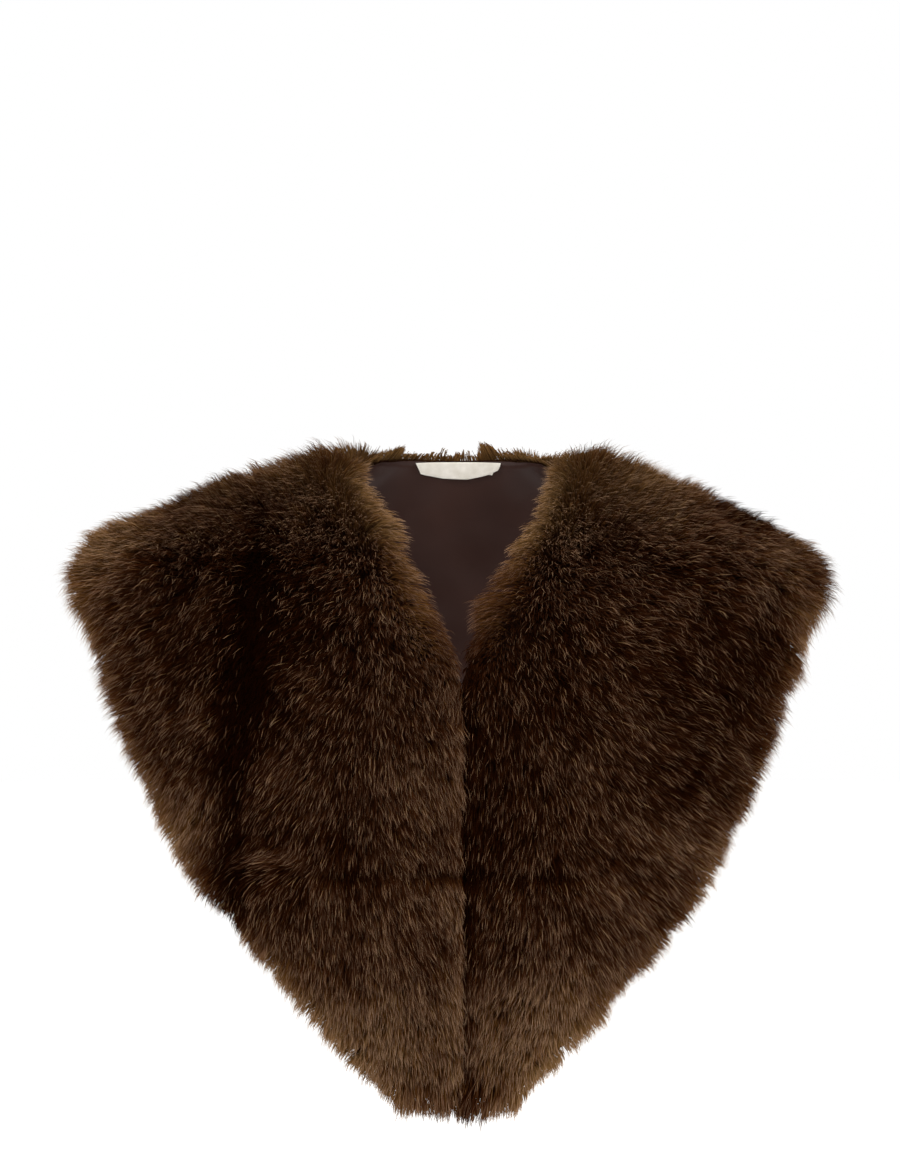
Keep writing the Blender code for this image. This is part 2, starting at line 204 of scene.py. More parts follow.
def smooth_curve(knots, values, at):
    """Values on a smooth curve through the knots that never swings past them: a cubic between
    each two knots, level at every high and low one."""
    steps = np.diff(knots)
    rises = np.diff(values, axis=0) / steps[:, None]
    before, after = rises[:-1], rises[1:]
    same_way = before * after > 0
    wide, narrow = 2 * steps[1:] + steps[:-1], steps[1:] + 2 * steps[:-1]
    total = (wide + narrow)[:, None]
    both = np.where(same_way, wide[:, None] * after + narrow[:, None] * before, 1.0)
    middle = np.where(same_way, total * before * after / both, 0.0)
    slopes = np.vstack([rises[:1], middle, rises[-1:]])
    at = np.asarray(at, dtype=float)
    cell = np.clip(np.searchsorted(knots, at, side="right") - 1, 0, len(knots) - 2)
    step = steps[cell][..., None]
    part = (at[..., None] - knots[cell][..., None]) / step
    start, end = values[cell], values[cell + 1]
    leave, arrive = slopes[cell] * step, slopes[cell + 1] * step
    return (
        (2 * part**3 - 3 * part**2 + 1) * start
        + (part**3 - 2 * part**2 + part) * leave
        + (3 * part**2 - 2 * part**3) * end
        + (part**3 - part**2) * arrive
    )


def whole_strip():
    """The sections' places along the strip, from -1 to 1, and their points: the left side mirrors
    the right one, and each has its own spread."""
    one_side = np.array([section[1:] for section in SECTIONS])
    right, left = one_side.copy(), one_side.copy()
    right[..., 0] *= SPREAD[1]
    left[..., 0] *= -SPREAD[-1]
    middle_line = one_side[:, 1:3].mean(axis=1)
    lengths = np.linalg.norm(np.diff(middle_line, axis=0), axis=1)
    along = 1 - np.concatenate([[0.0], np.cumsum(lengths)]) / lengths.sum()
    places = np.concatenate([-along, along[-2::-1]])
    return places, np.concatenate([left, right[-2::-1]])


PLACES, POINTS = whole_strip()


def place_of(name):
    """The place along the right side of a section."""
    return PLACES[-1 - SECTION_NAMES.index(name)]


SEAM_PLACE = place_of("cross seam")
SHOULDER_PLACE = place_of("shoulder")


def flat_cloth(across, along):
    """Points of the cloth before its folds: a smooth curve along each of the four rows of section
    points, then the cubic across through those four."""
    rows = smooth_curve(PLACES, POINTS.reshape(len(PLACES), -1), along)
    rows = rows.reshape(np.shape(along) + (4, 3))
    t = np.asarray(across)[..., None] * 3
    return (
        -(t - 1) * (t - 2) * (t - 3) / 6 * rows[..., 0, :]
        + t * (t - 2) * (t - 3) / 2 * rows[..., 1, :]
        - t * (t - 1) * (t - 3) / 2 * rows[..., 2, :]
        + t * (t - 1) * (t - 2) / 6 * rows[..., 3, :]
    )


def length(vectors):
    """The length of each vector."""
    return np.linalg.norm(vectors, axis=-1)


def unit(vectors):
    """The vectors with length 1."""
    return vectors / np.maximum(np.linalg.norm(vectors, axis=-1, keepdims=True), 1e-12)


def cloth_ways(across, along, step=0.002):
    """How the cloth runs at each place: its change for one whole of across, and of along."""
    low, high = np.clip(across - step, 0, 1), np.clip(across + step, 0, 1)
    span = (flat_cloth(high, along) - flat_cloth(low, along)) / (high - low)[..., None]
    low, high = np.clip(along - step, -1, 1), np.clip(along + step, -1, 1)
    run = (flat_cloth(across, high) - flat_cloth(across, low)) / (high - low)[..., None]
    return span, run


def fold_depth(points):
    """How deep the folds are: the depth at the nearest point of each path, fading with distance
    as a bell curve."""
    total = np.zeros(points.shape[:-1])
    seen = points[..., [0, 2]]
    for fold in FOLDS:
        path = np.array(fold.path)
        nearest = np.full(total.shape, np.inf)
        depth = np.zeros(total.shape)
        for start, end in zip(path[:-1], path[1:]):
            way = end[:2] - start[:2]
            part = np.clip(((seen - start[:2]) @ way) / (way @ way), 0, 1)
            gap = length(seen - start[:2] - part[..., None] * way)
            closer = gap < nearest
            depth = np.where(closer, start[2] + part * (end[2] - start[2]), depth)
            nearest = np.minimum(gap, nearest)
        depth_wise = points[..., 1]
        facing = depth_wise < FRONT_ENDS if fold.front else depth_wise > BACK_STARTS
        total += np.where(facing, depth * np.exp(-((nearest / fold.width) ** 2)), 0.0)
    return total


Spots = namedtuple("Spots", "points normals hemward across along folds neck_gap hem_gap")


def cloth(across, along):
    """Everything about places on the cloth: points with folds, outward vectors, the unit way to
    the hem, the depth of the folds, and the distances to the neck edge and the hem."""
    points = flat_cloth(across, along)
    span, run = cloth_ways(across, along)
    normals = unit(np.cross(run, span))
    folds = fold_depth(points)
    width = length(span)
    points = points - normals * (folds * FOLD_THROUGH)[..., None]
    return Spots(points, normals, unit(span), across, along, folds,
                 across * width, (1 - across) * width)


def ease(value, low, high):
    """0 below low, 1 above high, and a smooth rise between."""
    part = np.clip((value - low) / (high - low), 0, 1)
    return part * part * (3 - 2 * part)


def fade(value, low, high):
    """1 below low, 0 above high, and a smooth fall between."""
    return 1 - ease(value, low, high)


def reach_of(row, points, ends):
    """How far a row of a table acts on each point: a bell curve in x and z about its place, and
    nothing where y is past the end given."""
    x, y, z = np.moveaxis(points, -1, 0)
    gap = ((x - row.x) / row.wide) ** 2 + ((z - row.z) / row.high) ** 2
    return np.where(y < ends, np.exp(-gap), 0.0)


def slow_noise(points, scale, seed):
    """Soft noise between about -1 and 1: eight waves about as long as the scale, in directions
    and phases that the seed settles."""
    dice = np.random.default_rng(seed)
    ways = unit(dice.normal(size=(8, 3))) * dice.uniform(0.7, 1.5, (8, 1)) * 2 * np.pi / scale
    phases = dice.uniform(0, 2 * np.pi, 8)
    return np.sin(points @ ways.T + phases).sum(axis=-1) / 3.2


def patches(points, waves):
    """Several slow noises together: each has a height, a scale in metres and a seed."""
    return sum(height * slow_noise(points, scale, seed) for height, scale, seed in waves)


def strip_widths():
    """The cloth's width from neck edge to hem, and the place along the strip for each."""
    along = np.linspace(-1, 1, 161)
    across = np.linspace(0, 1, 41)
    points = flat_cloth(*np.meshgrid(across, along))
    return along, length(np.diff(points, axis=1)).sum(axis=1)


WIDTH_PLACES, WIDTHS = strip_widths()
NECKLINE_PLACE = place_of("neckline")
CHEST_PLACE = place_of("chest")
POINT_PLACE = place_of("point")
BLADE_PLACE = place_of("shoulder blade")
# How far inside the fur's edges the backing starts, and how its tip's corner is rounded.
HEM_INSET = 0.009
FRONT_NECK_INSET = 0.0165
TOP_NECK_INSET = 0.0205
BACK_NECK_INSET = 0.0105
MEETING_INSET = 0.0
TIP_INSET = 0.021
TIP_ROUND = 0.003


def fronts_meet(along):
    """1 where the two fronts touch, below the neckline, and 0 round the neck."""
    return ease(np.abs(along), NECKLINE_PLACE, CHEST_PLACE)


def neck_inset(along):
    """How far inside the fur's edge the backing starts: little behind the neck, most on the
    shoulders, and not at all where the fronts meet."""
    top = ease(np.abs(along), BLADE_PLACE, SHOULDER_PLACE)
    front = ease(np.abs(along), SHOULDER_PLACE, NECKLINE_PLACE)
    inset = BACK_NECK_INSET + (TOP_NECK_INSET - BACK_NECK_INSET) * top
    inset += (FRONT_NECK_INSET - TOP_NECK_INSET) * front
    return inset + (MEETING_INSET - inset) * fronts_meet(along)


def cloth_ends(along):
    """Where across the backing starts, near the neck edge, and where it ends, near the hem."""
    width = np.interp(along, WIDTH_PLACES, WIDTHS)
    corner = TIP_ROUND * ease(np.abs(along), POINT_PLACE, TIP_PLACE) ** 2
    return neck_inset(along) / width, 1 - (HEM_INSET + corner) / width


def tip_place():
    """Where along the strip the backing and the lining end, short of the tip."""
    _, run = cloth_ways(np.array([0.5]), np.array([0.99]))
    return 1 - TIP_INSET / np.linalg.norm(run)


TIP_PLACE = tip_place()


def put(thing):
    """Puts an object into the scene."""
    bpy.context.scene.collection.objects.link(thing)


def new_mesh(name, vertices, triangles, material, uv=None):
    """A smooth piece of triangles on the garment's one body, and its map if any."""
    mesh = bpy.data.meshes.new(name)
    mesh.vertices.add(len(vertices))
    mesh.vertices.foreach_set("co", np.ascontiguousarray(vertices, np.float32).ravel())
    mesh.loops.add(triangles.size)
    mesh.loops.foreach_set("vertex_index", triangles.astype(np.int32).ravel())
    mesh.polygons.add(len(triangles))
    mesh.polygons.foreach_set("loop_start", np.arange(0, triangles.size, 3, dtype=np.int32))
    if uv is not None:
        layer = mesh.uv_layers.new(name="OFBake")
        layer.uv.foreach_set("vector", uv[triangles.ravel()].astype(np.float32).ravel())
    mesh.update(calc_edges=True)
    mesh.shade_smooth()
    mesh.materials.append(material)
    piece = bpy.data.objects.new(name, mesh)
    put(piece)
    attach(piece, "root")
    return piece


# Bands, from where something starts to change to where the change ends. All but the upward one
# are in metres.
RIM_BAND = (0.021, 0.034)
# The band of painted light along the hem.
HEM_PAINTED_LIGHT_BAND = (0.008, 0.032)
UPWARD_BAND = (0.45, 0.85)
BACK_NECK_BAND = (0.01, 0.03)
BACK_NECK_DEPTHS = (0.02, 0.045)
BEHIND_DEPTHS = (0.01, 0.04)
# The band beside where the fronts meet that takes painted light and shade.
MEETING_LIGHT_AND_SHADE_BAND = (0.004, 0.016)
MEETING_LOFT_BAND = (0.002, 0.014)
LOW_FRONT_BAND = (0.3, 0.36)
NECK_ROLL_BAND = (0.015, 0.045)
SHOULDER_ROLL_BAND = (0.018, 0.036)
SEAM_OFF_HEM_BAND = (0.015, 0.045)
NECK_PARTING = (0.01, 0.055)
HEM_PARTING = (0.01, 0.04)
CURLY_HEIGHTS = (-0.22, -0.13)

# How light the fur is, and what changes that: painted light and shade, a lighter low front, and slow
# patches of the fur's own uneven tone.
BASE_SHADE = 0.36
# Painted light on the neck's rim, where the fur's edge catches the light.
RIM_PAINTED_LIGHT = 0.35
# Painted light along the hem, where the fur's edge catches the light.
HEM_PAINTED_LIGHT = 0.42
# Painted light on fur that faces up, towards the light from above.
UPWARD_PAINTED_LIGHT = 0.26
LOW_FRONT_LIGHT = 0.08
# Painted light on the back, which the lamps in front leave in shade.
BACK_PAINTED_LIGHT = 0.08
# Painted light on the fur at the back of the neck, as if lit from behind.
BACK_NECK_PAINTED_LIGHT = 0.16
# Painted shade in the folds, darker the deeper they are.
FOLD_PAINTED_SHADE = 30
# Painted shade along the seams, where the fur dips and parts.
SEAM_PAINTED_SHADE = 0.3
# Painted light on the left front beside the line where the fronts meet, and painted shade on the right
# front beside it.
LEFT_MEETING_PAINTED_LIGHT, RIGHT_MEETING_PAINTED_SHADE = 0.1, -0.26
SHADE_PATCHES = ((0.05, 0.045, 11), (0.04, 0.016, 12))

# How high the fur stands, as shares of its height, and how far it leans over an edge.
EDGE_ZONE = 0.018
EDGE_TILT = np.radians(78)
LEFT_MEETING_TILT = np.radians(1)
RIGHT_MEETING_TILT = np.radians(8)
HEM_RISE_LOSS = 0.56
FRONT_NECK_RISE_LOSS = 0.36
BACK_NECK_RISE_LOSS = 0.08
LOW_MEETING_EASE = 0.5
RIGHT_MEETING_LOSS = 0.28
NECK_ROLL = 0.06
FOLD_FLATTENS = 40
DEEPEST_FOLD = 0.014
SPARSE_SHARE, SPARSE_GAIN = 0.52, 0.42
SPARSE_BAND = (-0.4, 1.2)
LOFT_PATCHES = ((0.1, 0.05, 23), (0.06, 0.014, 24))
SPARSE_PATCHES = ((1.0, 0.018, 8), (0.5, 0.007, 9))
# The shoulders' swells: how far aside, how wide, and by what share.
SHOULDER_SWELLS = ((0.105, 0.045, 0.24), (0.18, 0.02, -0.16))

# The low line over a seam: its reach, how far above the cross seam it lies, its depths, and how it
# is deepest about the front's middle, and uneven.
SEAM_REACH = 0.007
SEAM_ABOVE = 0.013
CROSS_DEPTH, BACK_SEAM_DEPTH = 0.64, 0.2
SEAM_MIDDLE, SEAM_WIDE = 0.01, 0.07
SEAM_BASE, SEAM_MIDDLE_GAIN, SEAM_LEAST = 0.35, 0.6, 0.1
SEAM_PATCHES = ((0.35, 0.05, 41),)

# How the fur is combed: pulls to the neck and the hem, and slow swirls.
NECK_PULL = 0.6
HEM_PULL, HEM_EDGE_PULL, BACK_HEM_PULL = 0.12, 0.3, 0.3
MEETING_PULL_LOSS = 0.75
EDGE_RUN_GAIN = 0.2
SWIRLS = ((0.24, 0.07, 5), (0.22, 0.02, 6))
LEAST_WILDNESS = 0.55

# How much calmer the strands are on the neck's rim.
RIM_MEETING_LOSS = 0.9
RIM_RUN_LOSS = 0.42
RIM_TURN_LOSS = 0.6
RIM_SIZE_LOSS = 0.7
RIM_CURL_LOSS = 0.8
RIM_TUFT_SHADE_LOSS = 0.6
RIM_CHANCE_LOSS = 0.82

# A strand's curve, and how tufts and their strands differ.
RISE_POWER, RUN_POWER, PULL_POWER = 1.8, 1.5, 1.2
DROOP = 0.18
SWAY_SHARE = 0.5
TUFT_SPREAD = 0.0026
TUFT_SIZES, STRAND_SIZES = (-0.16, 0.13), (0.84, 1.08)
TUFT_UNRULY, STRAND_UNRULY = 0.18, 0.12
TUFT_SHADES = 0.05
CORNER_CROWDING, BACK_NECK_CROWDING = 1.4, 0.8
CORNER_SHARES, BACK_NECK_SHARES = (0.5, 1), (0.0, 0.1)
TRIES = 60000
STEP_ACROSS, STEP_ALONG = 0.7548776662466927, 0.5698402909980532

# A strand's width and turn, and its place on the fur's map.
WIDE_AT_ROOT, NARROWER_TO_TIP = 1.15, 0.45
LARGEST_TURN = 1.0
MAP_HALF_WIDTH, MAP_MARGIN = 0.004, 0.01


def neck_rim(spots):
    """1 on the band along the neck edge, 0 beyond it, little where the fronts have met."""
    rim = fade(spots.neck_gap, *RIM_BAND)
    halfway = (NECKLINE_PLACE + CHEST_PLACE) / 2
    return rim * (1 - RIM_MEETING_LOSS * ease(np.abs(spots.along), halfway, CHEST_PLACE))


def back_neck(spots):
    """1 on the band along the neck edge behind the neck, 0 elsewhere."""
    return fade(spots.neck_gap, *BACK_NECK_BAND) * ease(spots.points[..., 1], *BACK_NECK_DEPTHS)


def beside_meeting(spots, band):
    """1 on a band beside the line where the fronts meet, 0 elsewhere."""
    return fade(spots.neck_gap, *band) * fronts_meet(spots.along)


def upward(spots):
    """1 where the cloth faces up, 0 where it stands upright."""
    return ease(spots.normals[..., 2], *UPWARD_BAND)


def shade_of(spots):
    """How light the fur is, from 0 to 1: painted light towards both edges, on fur that faces up and on
    the back, painted shade in the folds and beside seams, the named painted light and shade of the front,
    lighter low on the front, and slow patches of the fur's own uneven tone everywhere."""
    light = BASE_SHADE + patches(spots.points, SHADE_PATCHES)
    light += RIM_PAINTED_LIGHT * neck_rim(spots)
    light += HEM_PAINTED_LIGHT * fade(spots.hem_gap, *HEM_PAINTED_LIGHT_BAND)
    light += UPWARD_PAINTED_LIGHT * upward(spots)
    light += LOW_FRONT_LIGHT * ease(-spots.points[..., 2], *LOW_FRONT_BAND)
    light += BACK_PAINTED_LIGHT * ease(spots.points[..., 1], 0.0, BACK_STARTS)
    light += BACK_NECK_PAINTED_LIGHT * back_neck(spots)
    light -= FOLD_PAINTED_SHADE * spots.folds
    light -= SEAM_PAINTED_SHADE * (1 - seam_share(spots))
    meeting_light_and_shade = np.where(spots.along > 0, RIGHT_MEETING_PAINTED_SHADE, LEFT_MEETING_PAINTED_LIGHT)
    light += meeting_light_and_shade * beside_meeting(spots, MEETING_LIGHT_AND_SHADE_BAND)
    for shade in PAINTED_LIGHT_AND_SHADE:
        light += shade.amount * reach_of(shade, spots.points, FRONT_ENDS)
    return light


def edge_pull(spots):
    """How much each place belongs to the backing's edge, the unit way out over that edge, how far
    the fur leans that way, and how much of its height it loses."""
    meeting = fronts_meet(spots.along)
    neck = fade(spots.neck_gap - neck_inset(spots.along), 0, EDGE_ZONE)
    hem = fade(spots.hem_gap - HEM_INSET, 0, EDGE_ZONE)
    _, run = cloth_ways(spots.across, spots.along)
    tip_gap = (1 - np.abs(spots.along)) * length(run)
    tip = fade(tip_gap - TIP_INSET, 0, EDGE_ZONE)
    tipward = unit(run) * np.sign(spots.along)[..., None]
    neck_way = neck * (1 - MEETING_PULL_LOSS * meeting)
    out = spots.hemward * (hem - neck_way)[..., None] + tipward * tip[..., None]
    edge = np.maximum(np.maximum(neck, hem), tip)
    meeting_tilt = np.where(spots.along < 0, LEFT_MEETING_TILT, RIGHT_MEETING_TILT)
    lean = np.maximum(np.maximum(hem, tip) * EDGE_TILT,
                      neck * (EDGE_TILT + (meeting_tilt - EDGE_TILT) * meeting))
    behind = ease(spots.points[..., 1], *BEHIND_DEPTHS)
    neck_loss = FRONT_NECK_RISE_LOSS + (BACK_NECK_RISE_LOSS - FRONT_NECK_RISE_LOSS) * behind
    low = ease(np.abs(spots.along), CHEST_PLACE, SEAM_PLACE)
    neck_loss = neck_loss * (1 - LOW_MEETING_EASE * low)
    loss = np.maximum(np.maximum(hem, tip) * HEM_RISE_LOSS, neck * neck_loss)
    return edge, unit(out), lean, loss


def wildness(spots):
    """How freely the strands turn and curl: fully at the top, less below, where they lie combed."""
    curly = ease(spots.points[..., 2], *CURLY_HEIGHTS)
    return LEAST_WILDNESS + (1 - LEAST_WILDNESS) * curly


def nap(spots, dice, unruly):
    """Unit ways in which the fur lies along the cloth: down, outward to the hem, and away from
    a parting near each edge, with slow swirls and each tuft's own turn."""
    normals = spots.normals
    down = normals * normals[..., 2:]
    down[..., 2] -= 1
    to_neck = NECK_PULL * fade(spots.neck_gap, *NECK_PARTING)
    to_neck *= 1 - MEETING_PULL_LOSS * fronts_meet(spots.along)
    to_hem = HEM_PULL + HEM_EDGE_PULL * fade(spots.hem_gap, *HEM_PARTING)
    to_hem += BACK_HEM_PULL * ease(spots.points[..., 1], 0.0, BACK_STARTS)
    way = down + spots.hemward * (to_hem - to_neck)[..., None]
    for comb in COMBS:
        share = reach_of(comb, spots.points, FRONT_ENDS)
        way = way + share[..., None] * np.array([comb.push_x, 0.0, comb.push_z])
    swirl = patches(spots.points, SWIRLS)
    turn = swirl + unruly * dice.normal(size=swirl.shape)
    turn = turn * (1 - RIM_TURN_LOSS * neck_rim(spots)) * wildness(spots)
    way = unit(way)
    way = way + np.cross(normals, way) * turn[..., None]
    way -= normals * np.sum(way * normals, axis=-1, keepdims=True)
    return unit(way)


def seam_share(spots):
    """How high the fur stands beside a seam: lower on it, full a little way off."""
    _, run = cloth_ways(spots.across, spots.along)
    pace = length(run)
    cross_gap = np.abs((SEAM_PLACE - np.abs(spots.along)) * pace - SEAM_ABOVE)
    back_gap = np.abs(spots.along) * pace
    middle = np.exp(-((spots.points[..., 0] - SEAM_MIDDLE) / SEAM_WIDE) ** 2)
    uneven = SEAM_BASE + SEAM_MIDDLE_GAIN * middle + patches(spots.points, SEAM_PATCHES)
    cross = CROSS_DEPTH * np.clip(uneven, SEAM_LEAST, 1) * fade(cross_gap, 0, SEAM_REACH)
    cross *= ease(spots.hem_gap, *SEAM_OFF_HEM_BAND)
    return (1 - cross) * (1 - BACK_SEAM_DEPTH * fade(back_gap, 0, SEAM_REACH))


def loft_share(spots):
    """How high the fur stands, as a share: less in folds and beside seams, uneven in slow patches
    and sparse along the back of the neck."""
    share = 1 + patches(spots.points, LOFT_PATCHES)
    share *= seam_share(spots)
    share *= 1 - FOLD_FLATTENS * np.clip(spots.folds, 0, DEEPEST_FOLD)
    roll = fade(spots.neck_gap, *NECK_ROLL_BAND) * (1 - fronts_meet(spots.along))
    share *= 1 + NECK_ROLL * roll
    aside = np.abs(spots.points[..., 0])
    on_top = upward(spots) * ease(spots.neck_gap, *SHOULDER_ROLL_BAND)
    for place, wide, swell in SHOULDER_SWELLS:
        share *= 1 + on_top * swell * np.exp(-(((aside - place) / wide) ** 2))
    for loft in LOFTS:
        share *= 1 + loft.amount * reach_of(loft, spots.points, BACK_STARTS)
    right_meeting = beside_meeting(spots, MEETING_LOFT_BAND) * (spots.along > 0)
    share *= 1 - RIGHT_MEETING_LOSS * right_meeting
    ragged = ease(patches(spots.points, SPARSE_PATCHES), *SPARSE_BAND)
    tufted = SPARSE_SHARE + SPARSE_GAIN * ragged
    return share * (1 - back_neck(spots) * (1 - tufted))


def strand_paths(spots, kind, dice, unruly, size):
    """Points along each strand, from root to tip. It leaves the cloth along its outward vector,
    which leans over a near edge, and runs along the nap later: rise 1 - (1 - s)^1.8, run s^1.5
    and droop s^2, for s from 0 to 1."""
    edge, out, lean, loss = edge_pull(spots)
    tilt = lean[..., None]
    outward = unit(spots.normals * np.cos(tilt) + out * np.sin(tilt))
    way = nap(spots, dice, unruly)
    rise = kind.rise * size * loft_share(spots) * (1 - loss)
    run = kind.run * size * (1 + EDGE_RUN_GAIN * edge) * (1 - RIM_RUN_LOSS * neck_rim(spots))
    s = np.linspace(0, 1, kind.bends + 2)[None, :, None]
    height = rise[:, None, None] * (1 - (1 - s) ** RISE_POWER)
    paths = spots.points[:, None] + outward[:, None] * height
    paths = paths + way[:, None] * (run[:, None, None] * s**RUN_POWER)
    paths[..., 2] -= DROOP * run[:, None] * s[..., 0] ** 2
    return paths, s[0, :, 0]


def crowding(across, along):
    """How much closer the tufts stand at the tip's outer corner and along the back neck."""
    first, last = cloth_ends(along)
    share = (across - first) / (last - first)
    corner = ease(np.abs(along), POINT_PLACE, TIP_PLACE) * ease(share, *CORNER_SHARES)
    behind = fade(np.abs(along), BLADE_PLACE, SHOULDER_PLACE)
    return 1 + CORNER_CROWDING * corner + BACK_NECK_CROWDING * (fade(share, *BACK_NECK_SHARES) * behind)


def tuft_places(stretch, side, dice):
    """Places of the tufts' middles, spread evenly by the cloth's area: an even sequence with two
    irrational steps, thinned where the cloth is smaller."""
    reach = abs(stretch.end - stretch.start)
    tries = np.arange(TRIES)
    u = (0.5 + tries * STEP_ACROSS) % 1
    v = (0.5 + tries * STEP_ALONG) % 1
    along = side * (stretch.start + (stretch.end - stretch.start) * v)
    first, last = cloth_ends(along)
    across = first + (last - first) * u
    span, run = cloth_ways(across, along)
    area = length(np.cross(span, run)) * (last - first) * reach
    area = area * crowding(across, along)
    number = int(area.mean() * stretch.tufts)
    tried = int(number * area.max() / area.mean())
    keep = np.flatnonzero(dice.uniform(size=tried) * area.max() < area[:tried])
    return across[keep], along[keep]


def grow(stretch, side, kind, number, seed):
    """Vertices, triangles and map of one kind of strand over a stretch: a tuft's strands start
    round its middle and are drawn towards its path."""
    dice = np.random.default_rng(seed)
    across, along = tuft_places(stretch, side, dice)
    middles = cloth(across, along)
    rim = neck_rim(middles)
    size = 1 + dice.uniform(*TUFT_SIZES, len(across)) * (1 - RIM_SIZE_LOSS * rim)
    guides, _ = strand_paths(middles, kind, dice, TUFT_UNRULY, size)
    span, run = cloth_ways(across, along)
    owner = np.repeat(np.arange(len(across)), number)
    offset = dice.normal(size=(len(owner), 2)) * TUFT_SPREAD
    first, last = cloth_ends(along[owner])
    root_across = across[owner] + offset[:, 0] / length(span)[owner]
    root_across = first + np.abs(root_across - first)
    root_across = last - np.abs(last - root_across)
    root_along = along[owner] + offset[:, 1] / length(run)[owner]
    low, high = sorted((side * stretch.start, side * stretch.end))
    root_along = np.clip(root_along, low, high)
    roots = cloth(root_across, root_along)
    strand_size = size[owner] * dice.uniform(*STRAND_SIZES, len(owner))
    paths, s = strand_paths(roots, kind, dice, STRAND_UNRULY, strand_size)
    calm = 1 - RIM_CURL_LOSS * rim[owner]
    pull = kind.tufting * calm[:, None] * s**PULL_POWER
    paths += (guides[owner] - paths) * pull[..., None]
    aside = unit(np.cross(paths[:, -1] - paths[:, 0], roots.normals))
    loose = (calm * wildness(roots))[:, None]
    curl, sway = dice.normal(size=(2, len(owner), 1)) * kind.curl * loose
    bend = curl * s**2 + SWAY_SHARE * sway * np.sin(np.pi * s)
    paths += aside[:, None] * bend[..., None]
    # The place's painted light and shade and own tone, then each kind's own lightness, a little less of
    # it on the neck's rim where the light is painted.
    light = shade_of(middles) + kind.lighter + kind.at_rim * rim
    light += TUFT_SHADES * dice.normal(size=len(across)) * (1 - RIM_TUFT_SHADE_LOSS * rim)
    chance = (dice.exponential(size=len(owner)) - 1) * (1 - RIM_CHANCE_LOSS * rim[owner])
    light = np.clip(light[owner] + kind.varied * chance, 0.01, 0.99)
    return ribbons(paths, s, roots.normals, kind, stretch.wider, light, dice)


def ribbons(paths, s, normals, kind, wider, light, dice):
    """Flat strands along paths: a point at the root, a pair at each bend, and a point at the tip.
    Each is turned about its own way by a chance angle."""
    ways = unit(paths[:, -1] - paths[:, 0])
    flat = unit(np.cross(ways, normals))
    angle = dice.uniform(-LARGEST_TURN, LARGEST_TURN, len(paths))[:, None]
    flat = flat * np.cos(angle) + np.cross(ways, flat) * np.sin(angle)
    half = kind.width * wider * (WIDE_AT_ROOT - NARROWER_TO_TIP * s[1:-1]) * 0.5
    sides = flat[:, None, :] * half[None, :, None]
    pairs = np.stack([paths[:, 1:-1] - sides, paths[:, 1:-1] + sides], axis=2)
    count, bends = len(paths), kind.bends
    pairs = pairs.reshape(count, bends * 2, 3)
    vertices = np.concatenate([paths[:, :1], pairs, paths[:, -1:]], axis=1)
    face = [(0, 2, 1)]
    for bend in range(bends - 1):
        a = 1 + bend * 2
        face += [(a, a + 1, a + 3), (a, a + 3, a + 2)]
    face.append((bends * 2 - 1, bends * 2, bends * 2 + 1))
    stride = bends * 2 + 2
    triangles = (np.arange(count)[:, None, None] * stride + np.array(face)).reshape(-1, 3)
    centre = kind.map_low + (kind.map_high - kind.map_low) * light
    offsets = np.concatenate([[0], np.tile([-MAP_HALF_WIDTH, MAP_HALF_WIDTH], bends), [0]])
    u = centre[:, None] + offsets[None, :]
    v = np.concatenate([s[:1], np.repeat(s[1:-1], 2), s[-1:]])
    v = MAP_MARGIN + (1 - 2 * MAP_MARGIN) * v
    uv = np.stack([u, np.broadcast_to(v, u.shape)], axis=-1)
    return vertices.reshape(-1, 3), triangles, uv.reshape(-1, 2)


def fur_stretch(stretch, side, material):
    """One piece of fur: the underfur and the guard hairs of a stretch."""
    word = "left" if side < 0 else "right"
    seed = int(1000 * stretch.start) + (5 if side > 0 else 0)
    under = grow(stretch, side, UNDERFUR, stretch.under, seed)
    guard = grow(stretch, side, GUARD_HAIR, stretch.guard, seed)
    vertices = np.concatenate([under[0], guard[0]])
    triangles = np.concatenate([under[1], guard[1] + len(under[0])])
    uv = np.concatenate([under[2], guard[2]])
    return new_mesh(f"hair_{word}_{stretch.name}", vertices, triangles, material, uv)


def shell_triangles(rows, columns):
    """Triangles of a closed shell between two grids of rows and columns, the outer one first."""
    grid = np.arange(rows * columns).reshape(rows, columns)
    corners = grid[:-1, :-1], grid[:-1, 1:], grid[1:, 1:], grid[1:, :-1]
    quads = np.stack([c.ravel() for c in corners], axis=1)
    under = quads[:, ::-1] + rows * columns
    rim = np.concatenate([grid[0, :-1], grid[:-1, -1], grid[-1, :0:-1], grid[:0:-1, 0]])
    after = np.roll(rim, -1)
    wall = np.stack([after, rim, rim + rows * columns, after + rows * columns], axis=1)
    quads = np.concatenate([quads, under, wall])
    return np.concatenate([quads[:, [0, 1, 2]], quads[:, [0, 2, 3]]])


def shell(name, spots, low, high, material):
    """A closed thin shell on a grid of places, between two distances out from the cloth."""
    outer = spots.points + spots.normals * np.broadcast_to(high, spots.across.shape)[..., None]
    inner = spots.points + spots.normals * np.broadcast_to(low, spots.across.shape)[..., None]
    rows, columns = spots.across.shape
    vertices = np.concatenate([outer.reshape(-1, 3), inner.reshape(-1, 3)])
    facing = np.cross(outer[0, 1] - outer[0, 0], outer[1, 0] - outer[0, 0])
    triangles = shell_triangles(rows, columns)
    if facing @ spots.normals[0, 0] < 0:
        triangles = triangles[:, ::-1]
    return new_mesh(name, vertices, triangles, material)


def measured_area(spots):
    """The area of a grid of points, in square metres."""
    across = np.diff(spots.points, axis=1)[:-1]
    along = np.diff(spots.points, axis=0)[:, :-1]
    return length(np.cross(across, along)).sum()


def backing_piece(name, side, start, end, material):
    """The knitted backing of one fur piece."""
    share, along = np.meshgrid(np.linspace(0, 1, 21), side * np.linspace(start, end, 41))
    first, last = cloth_ends(along)
    spots = cloth(first + (last - first) * share, along)
    piece = shell(name, spots, BACKING_OFF, BACKING_OFF + BACKING_THICK, material)
    return piece, measured_area(spots)


